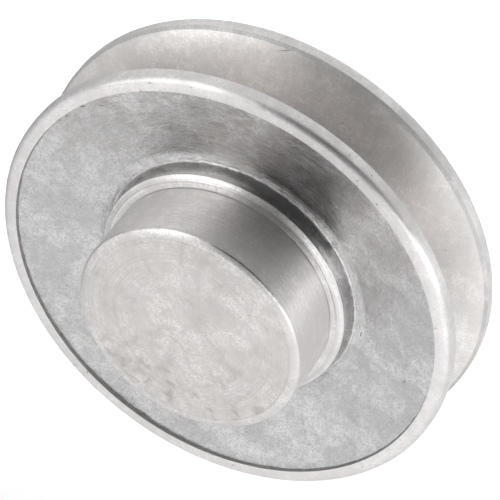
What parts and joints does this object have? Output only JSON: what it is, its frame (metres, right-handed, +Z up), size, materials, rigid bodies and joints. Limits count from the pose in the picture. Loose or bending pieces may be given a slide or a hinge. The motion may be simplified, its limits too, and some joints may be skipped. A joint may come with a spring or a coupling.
{
  "type": "v belt pulley",
  "caption": "Closed-hub V-belt pulley with one groove and a dished cast web, turning on sealed ball bearings around a stub axle with a hexagon collar and threaded stud.",
  "frame": {"origin": "centre of the belt groove, on the axis the pulley spins about", "axes": "+Y along the axis, out of the threaded stud; the closed hub points to -Y; +Z up"},
  "size_m": [0.08, 0.0533, 0.08],
  "materials": {
    "cast_aluminium": "sand-cast skin on the web, fine turned finish on the rim, groove and hub",
    "axle_steel": "turned and zinc plated",
    "spacer_steel": "turned",
    "spring_steel": "phosphated, lightly oiled",
    "ring_steel": "ground and honed",
    "ball_steel": "polished",
    "cage_steel": "pressed sheet, satin",
    "seal_rubber": "moulded, satin"
  },
  "bodies": {
    "axle": {"stub_axle": "axle_steel", "axle_circlip": "spring_steel", "inner_spacer_sleeve": "spacer_steel", "front_bearing_inner_ring": "ring_steel", "rear_bearing_inner_ring": "ring_steel"},
    "pulley": {"pulley_body": "cast_aluminium", "outer_spacer_ring": "spacer_steel", "bore_circlip": "spring_steel", "front_bearing_outer_ring": "ring_steel", "front_bearing_seal_front": "seal_rubber", "front_bearing_seal_rear": "seal_rubber", "rear_bearing_outer_ring": "ring_steel", "rear_bearing_seal_front": "seal_rubber", "rear_bearing_seal_rear": "seal_rubber"},
    "front_cage": {"front_bearing_cage_front": "cage_steel", "front_bearing_cage_rear": "cage_steel", "front_bearing_cage_rivets": "cage_steel", "front_bearing_ball_1": "ball_steel", "front_bearing_ball_2": "ball_steel", "front_bearing_ball_3": "ball_steel", "front_bearing_ball_4": "ball_steel", "front_bearing_ball_5": "ball_steel", "front_bearing_ball_6": "ball_steel", "front_bearing_ball_7": "ball_steel", "front_bearing_ball_8": "ball_steel"},
    "rear_cage": {"rear_bearing_cage_front": "cage_steel", "rear_bearing_cage_rear": "cage_steel", "rear_bearing_cage_rivets": "cage_steel", "rear_bearing_ball_1": "ball_steel", "rear_bearing_ball_2": "ball_steel", "rear_bearing_ball_3": "ball_steel", "rear_bearing_ball_4": "ball_steel", "rear_bearing_ball_5": "ball_steel", "rear_bearing_ball_6": "ball_steel", "rear_bearing_ball_7": "ball_steel", "rear_bearing_ball_8": "ball_steel"}
  },
  "joints": [
    {"name": "pulley_spin", "type": "hinge", "parent": "axle", "child": "pulley", "pos_m": [0, 0, 0], "axis": [0, 1, 0], "continuous": true},
    {"name": "front_cage_spin", "type": "hinge", "parent": "axle", "child": "front_cage", "pos_m": [0, -0.0089, 0], "axis": [0, 1, 0], "continuous": true},
    {"name": "rear_cage_spin", "type": "hinge", "parent": "axle", "child": "rear_cage", "pos_m": [0, 0.0026, 0], "axis": [0, 1, 0], "continuous": true}
  ],
  "couplings": [
    {"joint": "front_cage_spin", "follows": "pulley_spin", "ratio": 0.61905},
    {"joint": "rear_cage_spin", "follows": "pulley_spin", "ratio": 0.61905}
  ]
}
